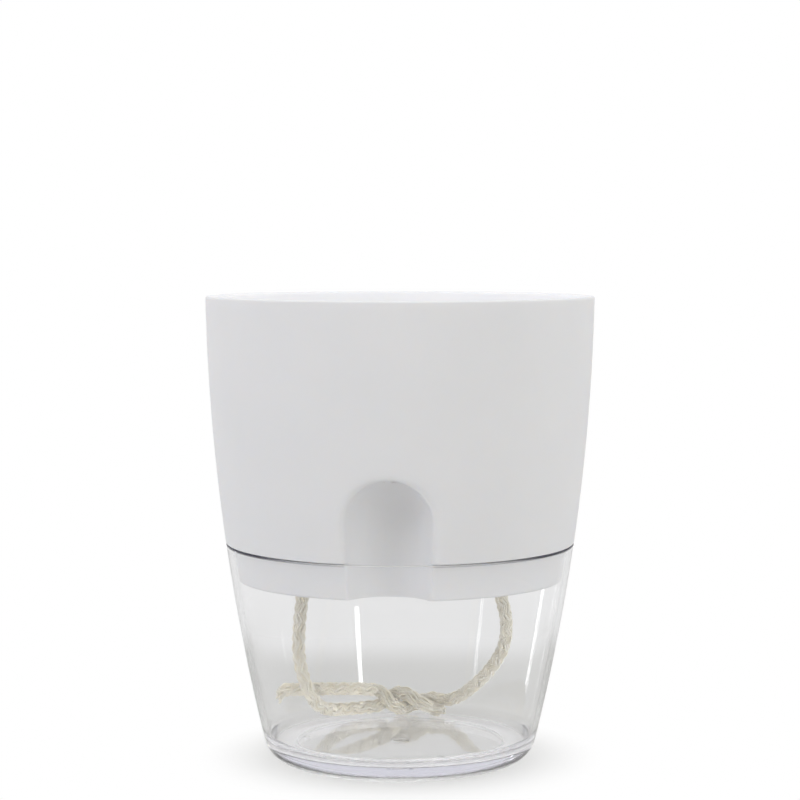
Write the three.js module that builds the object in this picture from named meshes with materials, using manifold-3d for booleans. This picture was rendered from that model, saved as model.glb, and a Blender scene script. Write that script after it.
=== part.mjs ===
// Self-watering cachepot.
// A white flower pot plugs with its spigot into the rim of a clear water reservoir.
// A cotton wick is threaded through two holes in the pot's floor, and its two ends hang in the water,
// twisted together once above the reservoir's floor.
// Millimetres, +Z up. The origin is on the table under the middle of the pot, and the filling scoop faces -Y.

import * as THREE from 'three';
import { mergeVertices } from 'three/addons/utils/BufferGeometryUtils.js';
import Module from 'manifold-3d';

const wasm = await Module();
wasm.setup();

// Outside form, one barrel-curved taper shared by the pot and the reservoir
const HEIGHT = 156; // table to the pot's rim
const RIM_RADIUS = 65; // outside, at the pot's rim
const SEAM_HEIGHT = 73.5; // table to the lower edge of the pot's outer wall
const SEAM_RADIUS = 58.6; // outside, at the seam
const HEEL_HEIGHT = 6.6; // table to where the rounded heel runs into the side
const HEEL_RADIUS = 45.9; // outside, at that height

// White pot
const POT_WALL = 1.8;
const POT_FLOOR = 2;
const LIP_ROUND = 0.7; // rounding of the rim's two edges
const SPIGOT_DEPTH = 12; // seam down to the underside of the pot's floor
const SPIGOT_EDGE = 1; // bevel round the underside of the pot's floor
const SPIGOT_CLEARANCE = 0.4; // between spigot and reservoir wall, on the radius
const SHOULDER_RISE = 2.6; // height of the slope inside, where the wall steps out over the spigot
const SEAT_GAP = 0.3; // between the pot's shoulder and the reservoir's rim

// Filling scoop, a half-round niche under a dome
const SCOOP_RADIUS = 13.6;
const SCOOP_DEPTH = 14.6; // outer wall at the seam to the back of the niche
const SCOOP_SPRING = 12.6; // seam up to where the dome begins
const MOUTH_GROW = 2; // the cut that eases the niche's edge is this much wider
const MOUTH_SHIFT = 8; // and its axis stands this much further out

// Holes in the pot's floor
const WICK_SPAN = 68; // between the two wick holes
const WICK_SETBACK = 8; // wick holes behind the pot's axis
const WICK_CLEARANCE = 0.4; // round the cord in its hole
const DRAIN_COUNT = 8;
const DRAIN_RADIUS = 2;
const DRAIN_CIRCLE = 24; // radius of the ring of drain holes

// Clear reservoir
const RESERVOIR_WALL = 2;
const RESERVOIR_FLOOR = 2.2;
const FOOT_HEIGHT = 3.8; // table to the underside of the raised floor
const FOOT_WIDTH = 2; // flat ring that the reservoir stands on
const FOOT_DRAFT = 0.5; // how far the inside of the foot ring leans in
const INNER_HEEL_ROUND = 6; // rounding between the floor and the wall, inside
const RIM_EDGE = 0.5; // bevel on the rim's outer edge
const GATE_RADIUS = 3.2; // round boss under the middle of the floor
const GATE_HEIGHT = 0.7;
const PIP_COUNT = 3;
const PIP_RADIUS = 1.5; // small pips under the floor
const PIP_HEIGHT = 0.9;
const PIP_CIRCLE = 32;
const PIP_TURN = THREE.MathUtils.degToRad(58); // direction of the first pip

// Cotton wick
const CORD_DIAMETER = 4.5;
const CORD_JOIN = 0.3; // between two stretches, halfway through a wick hole
const TWIST_GAP = 0.9; // between the two ends where they twist round each other
const TWIST_ANGLE = THREE.MathUtils.degToRad(300);
const TWIST_LEAD = 1.6; // how much faster it turns at the left end than on average
const TWIST_LEFT = new THREE.Vector3(-10.3, 35.9, 12); // ends of the line that they twist round
const TWIST_RIGHT = new THREE.Vector3(9.6, 38.2, 10);

// Routes of the cord's three stretches between the holes, the twist and the ends.
// The bridge's heights are above the pot's floor, the legs' above the table.
const BRIDGE_ROUTE = [
  [-34, 8, 4], [-31.6, 8.4, 9.6], [-25, 9.8, 12], [-17.5, 12.4, 9], [-10, 15.4, 4.2], [0, 17, 2.7],
  [10, 15.8, 4], [17.5, 12.8, 8.6], [25, 9.8, 11.6], [31.6, 8.4, 9.4], [34, 8, 4],
];
const LEFT_ROUTE = [
  [-34.1, 7.5, 54], [-35, 5.9, 44], [-35.1, 4.6, 34], [-33.7, 4.1, 26.4], [-31.7, 4.9, 20.9],
  [-29.4, 9.2, 15.4], [-26, 18, 11.6], [-21.6, 26.7, 9.9], [-16.4, 32, 9.3],
];
const LEFT_END = [13.1, 34.5, 8.6];
const RIGHT_ROUTE = [
  [34.1, 8.8, 54], [35.9, 13.2, 45], [35.3, 18.9, 35], [31.1, 24.8, 26], [24.9, 30.6, 18.4],
  [19, 35.7, 13.2], [14.2, 39.2, 11],
];
const RIGHT_TAIL = [
  [-15.3, 31.7, 16.2], [-23.4, 23.6, 17.8], [-31.8, 14.6, 19.4], [-37.8, 8, 20.5], [-42.3, 3, 21.1],
];

// Fineness of the facets
const ROUND_SEGMENTS = 60;
const SCOOP_SEGMENTS = 40;
const HOLE_SEGMENTS = 16;
const WALL_STEPS = 6;
const ARC_STEPS = 5;
const CORD_SIDES = 10;
const CORD_STEP = 4; // length of one straight piece of cord
const TWIST_STEPS = 10;
const GAP_SAMPLES = 400;
const CUT_MARGIN = 2; // how far a cutting body stands out of what it cuts
const WELD = 1e-4; // vertices closer than this are one

// Levels and radii that follow from the sizes above
const potFloorUnderside = SEAM_HEIGHT - SPIGOT_DEPTH;
const potFloorTop = potFloorUnderside + POT_FLOOR;
const reservoirRim = SEAM_HEIGHT - SEAT_GAP;
const reservoirFloorTop = FOOT_HEIGHT + RESERVOIR_FLOOR;
const scoopAxis = SEAM_RADIUS - SCOOP_DEPTH + SCOOP_RADIUS;
const wickHoleRadius = CORD_DIAMETER / 2 + WICK_CLEARANCE;
const twistRadius = (CORD_DIAMETER + TWIST_GAP) / 2;
const wickHoles = [-WICK_SPAN / 2, WICK_SPAN / 2].map((x) => new THREE.Vector2(x, WICK_SETBACK));

// The side is a parabola through the heel, the seam and the rim.
const lowerTaper = (SEAM_RADIUS - HEEL_RADIUS) / (SEAM_HEIGHT - HEEL_HEIGHT);
const upperTaper = (RIM_RADIUS - SEAM_RADIUS) / (HEIGHT - SEAM_HEIGHT);
const barrel = (upperTaper - lowerTaper) / (HEIGHT - HEEL_HEIGHT);

function wallRadius(z) {
  return HEEL_RADIUS + lowerTaper * (z - HEEL_HEIGHT) + barrel * (z - HEEL_HEIGHT) * (z - SEAM_HEIGHT);
}

function wallLean(z) {
  return Math.atan(lowerTaper + barrel * (2 * z - HEEL_HEIGHT - SEAM_HEIGHT));
}

function spigotRadius(z) {
  return wallRadius(z) - RESERVOIR_WALL - SPIGOT_CLEARANCE;
}

// Profile pieces, as points of radius and height
function at(radius, z) {
  return new THREE.Vector2(radius, z);
}

function alongWall(radiusAt, fromZ, toZ) {
  const points = [];
  for (let i = 0; i <= WALL_STEPS; i += 1) {
    const z = THREE.MathUtils.lerp(fromZ, toZ, i / WALL_STEPS);
    points.push(at(radiusAt(z), z));
  }
  return points;
}

function arc(centre, radius, fromAngle, toAngle) {
  const points = [];
  for (let i = 0; i <= ARC_STEPS; i += 1) {
    const angle = THREE.MathUtils.lerp(fromAngle, toAngle, i / ARC_STEPS);
    points.push(at(centre.x + radius * Math.cos(angle), centre.y + radius * Math.sin(angle)));
  }
  return points;
}

// Solids
function toSolid(geometry) {
  const bare = geometry.clone();
  bare.deleteAttribute('normal');
  bare.deleteAttribute('uv');
  const merged = mergeVertices(bare, WELD);
  const corners = merged.index.array;
  const triangles = [];
  for (let i = 0; i < corners.length; i += 3) {
    const [a, b, c] = [corners[i], corners[i + 1], corners[i + 2]];
    if (a !== b && b !== c && c !== a) {
      triangles.push(a, b, c);
    }
  }
  const vertProperties = merged.attributes.position.array;
  return new wasm.Manifold(new wasm.Mesh({ numProp: 3, vertProperties, triVerts: Uint32Array.from(triangles) }));
}

function revolve(profile, segments) {
  return toSolid(new THREE.LatheGeometry(profile, segments).rotateX(Math.PI / 2));
}

function peg(radius, fromZ, toZ, x, y) {
  const geometry = new THREE.CylinderGeometry(radius, radius, toZ - fromZ, HOLE_SEGMENTS);
  return toSolid(geometry.rotateX(Math.PI / 2).translate(x, y, (fromZ + toZ) / 2));
}

function toMesh(name, solid, material) {
  const { vertProperties, triVerts } = solid.getMesh();
  const geometry = new THREE.BufferGeometry();
  geometry.setAttribute('position', new THREE.BufferAttribute(vertProperties, 3));
  geometry.setIndex(new THREE.BufferAttribute(triVerts, 1));
  geometry.computeVertexNormals();
  const mesh = new THREE.Mesh(geometry, material);
  mesh.name = name;
  return mesh;
}

// White pot: the stepped outside less the cavity, with the scoop let in and its wall carried round inside
function potOutside() {
  return revolve([
    at(0, potFloorUnderside),
    at(spigotRadius(potFloorUnderside) - SPIGOT_EDGE, potFloorUnderside),
    at(spigotRadius(potFloorUnderside + SPIGOT_EDGE), potFloorUnderside + SPIGOT_EDGE),
    at(spigotRadius(SEAM_HEIGHT), SEAM_HEIGHT),
    ...alongWall(wallRadius, SEAM_HEIGHT, HEIGHT - LIP_ROUND),
    at(RIM_RADIUS - LIP_ROUND, HEIGHT),
    at(0, HEIGHT),
  ], ROUND_SEGMENTS);
}

function potCavity() {
  const spigotInside = (z) => spigotRadius(z) - POT_WALL;
  const wallInside = (z) => wallRadius(z) - POT_WALL;
  return revolve([
    at(0, potFloorTop),
    at(spigotInside(potFloorTop) - SPIGOT_EDGE, potFloorTop),
    at(spigotInside(potFloorTop + SPIGOT_EDGE), potFloorTop + SPIGOT_EDGE),
    at(spigotInside(SEAM_HEIGHT), SEAM_HEIGHT),
    ...alongWall(wallInside, SEAM_HEIGHT + SHOULDER_RISE, HEIGHT - LIP_ROUND),
    at(wallInside(HEIGHT) + LIP_ROUND, HEIGHT),
    at(wallInside(HEIGHT) + LIP_ROUND, HEIGHT + CUT_MARGIN),
    at(0, HEIGHT + CUT_MARGIN),
  ], ROUND_SEGMENTS);
}

function scoopBody(grow, shift) {
  const radius = SCOOP_RADIUS + grow;
  const spring = SEAM_HEIGHT + SCOOP_SPRING;
  const low = potFloorUnderside - CUT_MARGIN;
  const dome = arc(at(0, spring), radius, 0, Math.PI / 2).slice(0, -1);
  return revolve([at(0, low), at(radius, low), ...dome, at(0, spring + radius)], SCOOP_SEGMENTS)
    .translate([0, -scoopAxis - shift, 0]);
}

function floorHole(radius, x, y) {
  return peg(radius, potFloorUnderside - CUT_MARGIN, potFloorTop + CUT_MARGIN, x, y);
}

function makePot(material) {
  const cavity = potCavity().subtract(scoopBody(POT_WALL, 0));
  const niche = scoopBody(0, 0).add(scoopBody(MOUTH_GROW, MOUTH_SHIFT));
  let pot = potOutside().subtract(niche).subtract(cavity);
  for (const hole of wickHoles) {
    pot = pot.subtract(floorHole(wickHoleRadius, hole.x, hole.y));
  }
  for (let i = 0; i < DRAIN_COUNT; i += 1) {
    const turn = (2 * Math.PI * (i + 0.5)) / DRAIN_COUNT;
    pot = pot.subtract(floorHole(DRAIN_RADIUS, DRAIN_CIRCLE * Math.cos(turn), DRAIN_CIRCLE * Math.sin(turn)));
  }
  return toMesh('pot', pot, material);
}

// Clear reservoir: one closed section from the underside of the floor, round the heel and over the rim
function reservoirShell() {
  const inside = (z) => wallRadius(z) - RESERVOIR_WALL;
  const heelLean = wallLean(HEEL_HEIGHT);
  const heelRound = HEEL_HEIGHT / (1 - Math.sin(heelLean));
  const heelCentre = at(HEEL_RADIUS - heelRound * Math.cos(heelLean), heelRound);
  const innerLean = wallLean(reservoirFloorTop + INNER_HEEL_ROUND);
  const innerTop = reservoirFloorTop + INNER_HEEL_ROUND * (1 - Math.sin(innerLean));
  const innerCentre = at(
    inside(innerTop) - INNER_HEEL_ROUND * Math.cos(innerLean),
    reservoirFloorTop + INNER_HEEL_ROUND,
  );
  const footInside = heelCentre.x - FOOT_WIDTH;
  return revolve([
    at(0, FOOT_HEIGHT),
    at(footInside - FOOT_DRAFT, FOOT_HEIGHT),
    at(footInside, 0),
    ...arc(heelCentre, heelRound, -Math.PI / 2, -heelLean),
    ...alongWall(wallRadius, HEEL_HEIGHT, reservoirRim - RIM_EDGE).slice(1),
    at(wallRadius(reservoirRim) - RIM_EDGE, reservoirRim),
    ...alongWall(inside, reservoirRim, innerTop),
    ...arc(innerCentre, INNER_HEEL_ROUND, -innerLean, -Math.PI / 2).slice(1),
    at(0, reservoirFloorTop),
  ], ROUND_SEGMENTS);
}

function makeReservoir(material) {
  const rooted = FOOT_HEIGHT + RESERVOIR_FLOOR / 2;
  let reservoir = reservoirShell();
  reservoir = reservoir.add(peg(GATE_RADIUS, FOOT_HEIGHT - GATE_HEIGHT, rooted, 0, 0));
  for (let i = 0; i < PIP_COUNT; i += 1) {
    const turn = PIP_TURN + (2 * Math.PI * i) / PIP_COUNT;
    const x = PIP_CIRCLE * Math.cos(turn);
    const y = PIP_CIRCLE * Math.sin(turn);
    reservoir = reservoir.add(peg(PIP_RADIUS, FOOT_HEIGHT - PIP_HEIGHT, rooted, x, y));
  }
  return toMesh('reservoir', reservoir, material);
}

// Cotton wick
function toVectors(route, baseZ) {
  return route.map(([x, y, z]) => new THREE.Vector3(x, y, z + baseZ));
}

function inHole(hole, offset) {
  return new THREE.Vector3(hole.x, hole.y, potFloorUnderside + POT_FLOOR / 2 + offset);
}

// One of the two ends through the twist, from its left end to its right. The start angle is taken from the front.
function twistPoints(startAngle) {
  const along = TWIST_RIGHT.clone().sub(TWIST_LEFT).normalize();
  const front = new THREE.Vector3(0, -1, 0).addScaledVector(along, along.y).normalize();
  const up = front.clone().cross(along);
  const points = [];
  for (let i = 0; i <= TWIST_STEPS; i += 1) {
    const share = i / TWIST_STEPS;
    const angle = startAngle - TWIST_ANGLE * share * (TWIST_LEAD - (TWIST_LEAD - 1) * share);
    const point = TWIST_LEFT.clone().lerp(TWIST_RIGHT, share);
    point.addScaledVector(front, twistRadius * Math.cos(angle)).addScaledVector(up, twistRadius * Math.sin(angle));
    points.push(point);
  }
  return points;
}

function wickRoutes() {
  const [left, right] = wickHoles;
  const below = -CORD_JOIN / 2;
  const above = CORD_JOIN / 2;
  return {
    wick_bridge: [inHole(left, above), ...toVectors(BRIDGE_ROUTE, potFloorTop), inHole(right, above)],
    wick_left_leg: [
      inHole(left, below), ...toVectors(LEFT_ROUTE, 0), ...twistPoints(-Math.PI / 2), ...toVectors([LEFT_END], 0),
    ],
    wick_right_leg: [
      inHole(right, below), ...toVectors(RIGHT_ROUTE, 0), ...twistPoints(Math.PI / 2).reverse(),
      ...toVectors(RIGHT_TAIL, 0),
    ],
  };
}

function makeCord(name, curve, material) {
  const section = new THREE.Shape();
  for (let i = 0; i < CORD_SIDES; i += 1) {
    const turn = (2 * Math.PI * i) / CORD_SIDES;
    const corner = at((CORD_DIAMETER / 2) * Math.cos(turn), (CORD_DIAMETER / 2) * Math.sin(turn));
    if (i === 0) {
      section.moveTo(corner.x, corner.y);
    } else {
      section.lineTo(corner.x, corner.y);
    }
  }
  section.closePath();
  const steps = Math.ceil(curve.getLength() / CORD_STEP);
  const geometry = new THREE.ExtrudeGeometry(section, { steps, extrudePath: curve, curveSegments: 1 });
  return toMesh(name, toSolid(geometry), material);
}

function leastGap(curveA, curveB) {
  const pointsB = curveB.getSpacedPoints(GAP_SAMPLES);
  let least = Infinity;
  for (const pointA of curveA.getSpacedPoints(GAP_SAMPLES)) {
    for (const pointB of pointsB) {
      least = Math.min(least, pointA.distanceTo(pointB));
    }
  }
  return least - CORD_DIAMETER;
}

// Materials
const whitePlastic = new THREE.MeshStandardMaterial({ color: '#e8e9e8', roughness: 0.45, metalness: 0 });
const clearPlastic = new THREE.MeshStandardMaterial({
  color: '#e9edf2', roughness: 0.06, metalness: 0, transparent: true, opacity: 0.3,
});
const cotton = new THREE.MeshStandardMaterial({ color: '#cfc1a1', roughness: 0.95, metalness: 0 });

// Assembly
const cachepot = new THREE.Group();
cachepot.name = 'self_watering_cachepot';
cachepot.add(makeReservoir(clearPlastic));
cachepot.add(makePot(whitePlastic));

const wickCurves = {};
for (const [name, points] of Object.entries(wickRoutes())) {
  wickCurves[name] = new THREE.CatmullRomCurve3(points, false, 'centripetal');
  cachepot.add(makeCord(name, wickCurves[name], cotton));
  console.log(`${name} length ${wickCurves[name].getLength().toFixed(1)} mm`);
}
const twistClearance = leastGap(wickCurves.wick_left_leg, wickCurves.wick_right_leg);
console.log(`least gap between the two wick legs ${twistClearance.toFixed(2)} mm`);

export default cachepot;
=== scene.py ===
"""Self-watering cachepot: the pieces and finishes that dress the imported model, and a plain studio for it."""

import math

import bmesh
import bpy
import numpy as np
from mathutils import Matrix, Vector


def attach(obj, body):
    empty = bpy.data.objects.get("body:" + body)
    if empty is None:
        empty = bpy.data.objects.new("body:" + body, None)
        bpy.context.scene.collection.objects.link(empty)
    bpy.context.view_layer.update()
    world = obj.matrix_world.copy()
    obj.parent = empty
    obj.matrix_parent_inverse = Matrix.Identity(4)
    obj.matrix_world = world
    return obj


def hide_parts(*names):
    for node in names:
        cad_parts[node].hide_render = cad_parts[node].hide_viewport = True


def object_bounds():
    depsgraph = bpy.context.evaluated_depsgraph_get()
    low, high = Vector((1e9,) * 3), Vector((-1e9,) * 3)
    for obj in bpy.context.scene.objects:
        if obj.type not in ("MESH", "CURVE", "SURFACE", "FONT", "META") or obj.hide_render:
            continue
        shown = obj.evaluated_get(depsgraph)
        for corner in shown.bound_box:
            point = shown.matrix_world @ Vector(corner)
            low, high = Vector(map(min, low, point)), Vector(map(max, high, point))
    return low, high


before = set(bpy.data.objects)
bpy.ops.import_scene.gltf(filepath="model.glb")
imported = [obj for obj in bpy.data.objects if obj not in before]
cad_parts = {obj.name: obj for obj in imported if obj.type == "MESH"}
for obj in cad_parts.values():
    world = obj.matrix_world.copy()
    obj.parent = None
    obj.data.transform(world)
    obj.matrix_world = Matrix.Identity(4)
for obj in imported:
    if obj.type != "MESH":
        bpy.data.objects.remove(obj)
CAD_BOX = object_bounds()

bl_info = {
    "name": "Self-watering cachepot",
    "version": (1, 0, 0),
    "blender": (4, 5, 0),
    "location": "View3D > Sidebar > Cachepot",
    "description": "White flower pot with a filling scoop, on a clear water reservoir with a cotton wick",
    "category": "Object",
}

MM = 0.001
TAU = 2 * math.pi
QUARTER = math.pi / 2

# Fineness of the meshes
POT_FRONT_POINTS = 96  # across half of the pot's front, niche and all
POT_SIDE_POINTS = 112  # from there round to the back of the pot
FRONT_ANGLE = math.radians(24)  # half the angle within which the scoop bends the wall
FRONT_SAMPLES = 420  # rays across that angle
RAY_SAMPLES = 420  # places on each ray where the wall is looked for
EDGE_ANGLE = math.radians(13.6)  # direction of the niche's edge, where the points lie closest
EDGE_SPREAD = math.radians(6)  # how far that reaches to each side
EDGE_DENSITY = 3.5  # how many more points lie there
DOME_START = 0.5  # share of the dome's height above which the rings lie closer
DOME_RINGS = 34
PLAIN_RINGS = 20  # below the dome, and as many above it
SPIGOT_RINGS = 10
SHOULDER_SHARES = (0.35, 0.7)  # rings between the spigot and the outer wall
SCOOP_FOLLOW = 0.3  # how much of the rounding of the floor's edge the scoop follows
ROUND_STEPS = 6  # round a moulded edge
HEEL_STEPS = 24
RESERVOIR_SEGMENTS = 360
WALL_STEPS = 48
UNDERSIDE_SHARES = np.linspace(0.1, 0.95, 14)  # rings between the gate boss and the foot ring
FLOOR_RINGS = 16
POLE = 0.02 * MM  # radius of the flat face that closes the middle of a floor
HOLE_SEGMENTS = 40
PIP_TAPER = 0.8  # a pip's lower radius, as a share of its upper one
CUT_FLOORS = 3  # length of the cutters for the floor's holes, in thicknesses of the floor
PROBE = 0.01 * MM  # step over which the wall's lean is taken
WELD = 2e-6  # distance at which two points become one
SHARP_ANGLE = math.radians(32)  # between two faces, above which their edge is a crease

# Surface of the two mouldings. A pattern has a size and a fineness.
WHITE_PATTERNS = (
    (30 * MM, 3.0),  # clouds in the white
    (18 * MM, 1.0),  # waves where the wall has sunk a little
    (0.5 * MM, 2.0),  # grain of the mould, drawn coarser than the real one so that it shows
)
CLEAR_PATTERNS = (
    (22 * MM, 1.0),  # flow of the melt
    (6 * MM, 4.0),  # marks of wiping
)
HAZE_MOST = 0.05  # roughness of the clear plastic where it has been wiped most
RIM_FADE = 0.1 * MM  # depth of the scuffed top of the rim
RIM_WHITE = 0.45  # share of the scuffed rim that is no longer clear
RIM_HAZE = 0.5  # how much rougher it is
FOOT_WHITE = 0.85  # the same two at the bottom of the foot
FOOT_HAZE = 0.7
SEAM_DEPTH = 0.8 * MM  # how far the painted shade under the pot's shoulder reaches down the rim
SEAM_LEAST = 0.2  # strength of that shade where the wall faces the eye
SEAM_EDGE = 0.45  # how far the wall is turned away where it is strongest

# Cotton and braid
FIBRE_LENGTH = 2.2 * MM
FIBRE_WIDTH = 0.28 * MM  # drawn coarser than the real one so that it shows
FIBRE_TONE = 0.6  # share that the fibres have in the tone
FIBRE_SHIFT = 7 * MM  # between the patterns of one yarn and the next
YARN_TONE = 0.6  # most that two yarns differ in tone
YARN_SIDES = 7
CORE_SIDES = 10
BRAID_STEP = 0.7 * MM  # along the cord, between two points of a yarn
SEED_STEP = 11  # between the seeds of one stretch and the next
CORD_FULL = 1.08  # the soft cord's yarns stand out this much from its nominal thickness
TWIST_SWELL = 0.11  # how much fuller still it is where its two ends press on each other
SWELL_REACH = 0.42  # half the length of that, as a share of the twist's length
SWELL_ROOM = 1 / 3  # how far it reaches round the twist's axis, as a share of that length
LOOSE_LEAST = 0.25  # distance of the innermost loose yarn from the cord's middle, as a share of its place
UNEVEN_MIDDLE = 0.4  # sag of a loose yarn that is neither longer nor shorter than the cord
UNEVEN_MOST = 0.25  # how much the lengths of loose yarns differ, as a share of the frayed length
CORE_REACH = 0.4  # how far the core goes on into the frayed length, as a share of it

# Routes of the cord's three stretches in millimetres, as in the part's source.
# The bridge's heights are above the pot's floor, the legs' above the table.
BRIDGE_ROUTE = (
    (-34, 8, 4), (-31.6, 8.4, 9.6), (-25, 9.8, 12), (-17.5, 12.4, 9), (-10, 15.4, 4.2), (0, 17, 2.7),
    (10, 15.8, 4), (17.5, 12.8, 8.6), (25, 9.8, 11.6), (31.6, 8.4, 9.4), (34, 8, 4),
)
LEFT_ROUTE = (
    (-34.1, 7.5, 54), (-35, 5.9, 44), (-35.1, 4.6, 34), (-33.7, 4.1, 26.4), (-31.7, 4.9, 20.9),
    (-29.4, 9.2, 15.4), (-26, 18, 11.6), (-21.6, 26.7, 9.9), (-16.4, 32, 9.3),
)
LEFT_END = (13.1, 34.5, 8.6)
RIGHT_ROUTE = (
    (34.1, 8.8, 54), (35.9, 13.2, 45), (35.3, 18.9, 35), (31.1, 24.8, 26), (24.9, 30.6, 18.4),
    (19, 35.7, 13.2), (14.2, 39.2, 11),
)
RIGHT_TAIL = (
    (-15.3, 31.7, 16.2), (-23.4, 23.6, 17.8), (-31.8, 14.6, 19.4), (-37.8, 8, 20.5), (-42.3, 3, 21.1),
)
TWIST_LEFT = (-10.3, 35.9, 12)
TWIST_RIGHT = (9.6, 38.2, 10)
TWIST_ANGLE = math.radians(300)
TWIST_LEAD = 1.6  # how much faster it winds at its left end
TWIST_GAP = 0.9  # between the two cords
CORD_JOIN = 0.3  # between two stretches, inside the floor's hole
ROUTE_STEPS = 14  # from each point of a route to the next
TWIST_STEPS = 10

# Light and floor, in metres and degrees
LIGHT_BOUNCES = 32  # light goes to and fro inside the clear foot and walls before it comes out
FLOOR_DROP = 0.05 * MM  # keeps the foot's flat ring and the floor from lying in one plane
FLOOR_SEGMENTS = 96
FLOOR_FADES = (  # distances from the pot's axis at which a change begins and ends
    (0.024, 0.070),  # to white, as the camera sees the floor
    (0.15, 0.22),  # to white, as the clear plastic shows it
    (0.06, 0.12),  # to the painted shade further off, which stands in for the pot's shadow and the room's shade behind it
)
FRONT_LIGHT = (-0.95, -0.5)  # how far back a direction points, where the front's dimmer light fades out
ROOM_SEEN = (-0.4, 0.2)  # the same, where the room in the plastic's mirror image gives way to the backdrop
MIDDLE = (0, 0, 0.08)
WICK_LOW = (0, 0.03, 0.016)
POT_BACK = (0, 0.058, 0.148)
BOX = (0.4, 0.9)
WIDE = 180
LAMPS = (  # name, strength, share of it, colour, size, bearing, elevation, distance, aim, spread
    ("top_soft_box", "top", 1.0, "plain", (1.0, 1.0), 0, 84, 1.2, MIDDLE, WIDE),
    ("low_soft_box", "low", 1.0, "plain", (0.3, 0.04), 0, 2, 0.7, WICK_LOW, 8),
    ("mouth_soft_box", "mouth", 1.0, "plain", (0.08, 0.012), 0, 0, 0.088, POT_BACK, WIDE),
    ("left_box", "side", 1.0, "cool", BOX, -55, 18, 1.1, MIDDLE, WIDE),
    ("right_front_box", "side", 0.63, "warm", BOX, 30, 18, 1.1, MIDDLE, WIDE),
    ("right_box", "side", 0.38, "warm", BOX, 55, 18, 1.1, MIDDLE, WIDE),
    ("right_tube", "strip", 1.2, "plain", (0.045, 0.44), 39, 16, 0.8, MIDDLE, WIDE),
    ("left_tube", "strip", 0.1, "plain", (0.014, 0.2), -65, 13, 0.8, MIDDLE, WIDE),
    ("back_tube", "strip", 0.3, "plain", (0.025, 0.26), -134, 2, 0.8, MIDDLE, WIDE),
)


def length(name, description, default_mm):
    """A size that a user may change, given in millimetres."""
    return bpy.props.FloatProperty(
        name=name, description=description, default=default_mm * MM, unit="LENGTH", precision=5
    )


def turn(name, description, degrees):
    """An angle that a user may change, given in degrees."""
    return bpy.props.FloatProperty(
        name=name, description=description, default=math.radians(degrees), subtype="ANGLE", unit="ROTATION"
    )


def amount(name, description, default):
    """A bare number that a user may change."""
    return bpy.props.FloatProperty(name=name, description=description, default=default)


def count(name, description, default):
    """A number of like features."""
    return bpy.props.IntProperty(name=name, description=description, default=default, min=1)


def linear(hex_colour):
    """An sRGB hex colour as linear red, green, blue and alpha."""
    shares = [int(hex_colour[i:i + 2], 16) / 255 for i in (1, 3, 5)]
    return tuple(s / 12.92 if s <= 0.04045 else ((s + 0.055) / 1.055) ** 2.4 for s in shares) + (1.0,)


def colour(name, description, hex_colour):
    """A colour that a user may change, given as sRGB hex."""
    return bpy.props.FloatVectorProperty(
        name=name, description=description, default=linear(hex_colour), size=4, subtype="COLOR", min=0, max=1
    )


class CachepotForm(bpy.types.PropertyGroup):
    """Outside form shared by the pot and the reservoir."""

    height: length("Height", "Table to the pot's rim", CAD_BOX[1][2] / MM)
    rim_radius: length("Rim radius", "Outside, at the pot's rim", 65)
    seam_height: length("Seam height", "Table to the lower edge of the pot's outer wall", 73.5)
    seam_radius: length("Seam radius", "Outside, at the seam", 58.6)
    heel_height: length("Heel height", "Table to where the rounded heel runs into the side", 6.6)
    heel_radius: length("Heel radius", "Outside, at the heel height", 45.9)


class CachepotPot(bpy.types.PropertyGroup):
    """White flower pot."""

    wall: length("Wall", "Thickness of the pot's wall", 1.8)
    floor: length("Floor", "Thickness of the pot's floor", 2)
    lip_round: length("Lip rounding", "Rounding of the rim's two edges", 0.7)
    hem_round: length("Hem rounding", "Rounding of the outer wall's lower edge", 0.35)
    spigot_depth: length("Spigot depth", "Seam down to the underside of the floor", 12)
    spigot_edge: length("Spigot rounding", "Rounding round the floor's edge", 1)
    clearance: length("Clearance", "Between spigot and reservoir wall", 0.4)
    shoulder_rise: length("Shoulder rise", "Height of the slope inside, over the spigot", 2.6)
    shoulder_fall: length("Shoulder fall", "How much lower the shoulder is at the spigot", 0.12)
    scoop_radius: length("Scoop radius", "Radius of the filling scoop", 13.6)
    scoop_depth: length("Scoop depth", "Outer wall at the seam to the back of the niche", 14.6)
    scoop_spring: length("Scoop spring", "Seam up to where the dome begins", 12.6)
    mouth_round: length("Mouth rounding", "Width over which the niche's edge is rounded", 3.5)
    spigot_round: length("Spigot mouth rounding", "The same, below the seam", 2)
    bead: length("Bead", "How far the bead along the niche's edge stands out, below the seam", 1.2)
    bead_width: length("Bead width", "Half the bead's width", 1.3)
    wick_span: length("Wick span", "Between the two wick holes", 68)
    wick_setback: length("Wick setback", "Wick holes behind the pot's axis", 8)
    wick_hole: length("Wick hole", "Radius of a wick hole", 2.65)
    drain_count: count("Drain holes", "Drain holes in the floor", 8)
    drain_radius: length("Drain radius", "Radius of a drain hole", 2)
    drain_circle: length("Drain circle", "Radius of the ring of drain holes", 24)
    white: colour("White", "The plastic's colour", "#E6E6E8")
    shade: colour("Shade", "Its colour in the faint clouds of the moulding", "#E0E1E4")


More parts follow.
